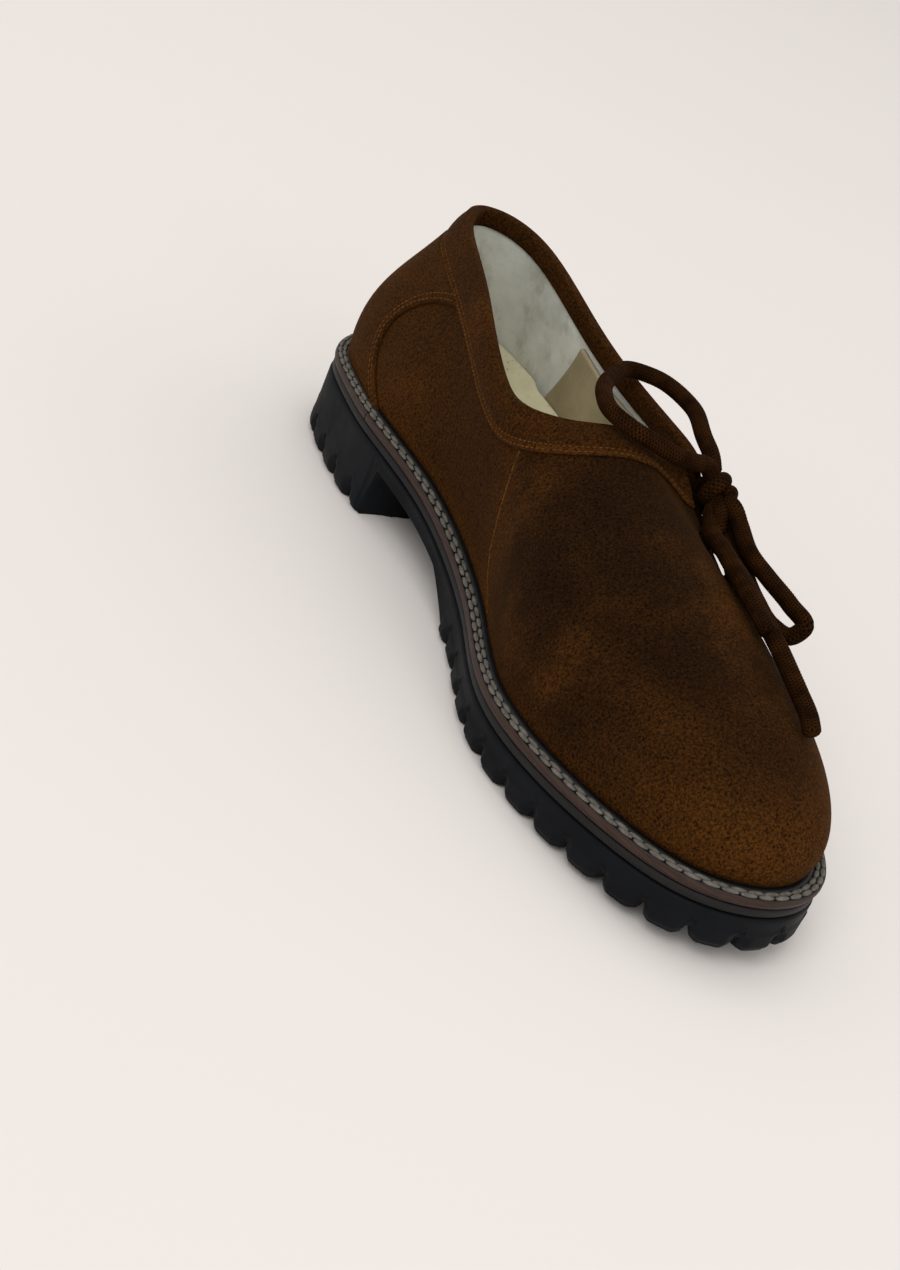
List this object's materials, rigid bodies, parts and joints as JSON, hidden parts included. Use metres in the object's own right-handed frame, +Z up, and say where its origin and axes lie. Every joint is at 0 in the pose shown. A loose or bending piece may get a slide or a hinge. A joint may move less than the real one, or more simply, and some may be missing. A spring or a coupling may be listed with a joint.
{
  "type": "side-laced half shoe",
  "caption": "Low side-laced suede half shoe for the left foot, with a stitched welt, leather midsole and lugged rubber sole, its lace tied in a small bow.",
  "frame": {"origin": "middle of the shoe's box, without its bow, on the floor it stands on", "axes": "+Z up, the toe points to -Y and the heel to +Y, +X is the outer side of the left foot"},
  "size_m": [0.1014, 0.306, 0.1],
  "materials": {
    "black rubber": "matt moulded",
    "brown sole leather": "stained edge",
    "black welt leather": "waxed",
    "dark brown suede": "napped suede",
    "cream footbed leather": "smooth",
    "beige tongue leather": "smooth",
    "dark brown lace": "round braid"
  },
  "bodies": {
    "root": {"outsole": "black rubber", "midsole": "brown sole leather", "welt_forepart": "black welt leather", "welt_heel": "black welt leather", "insole": "cream footbed leather", "upper": "dark brown suede", "heel_counter": "dark brown suede", "collar_band": "dark brown suede", "tongue": "beige tongue leather", "lace_bars": "dark brown lace", "lace_knot": "dark brown lace", "lace_loop_upper": "dark brown lace", "lace_loop_lower": "dark brown lace", "lace_end_long": "dark brown lace", "lace_end_short": "dark brown lace"}
  },
  "joints": []
}
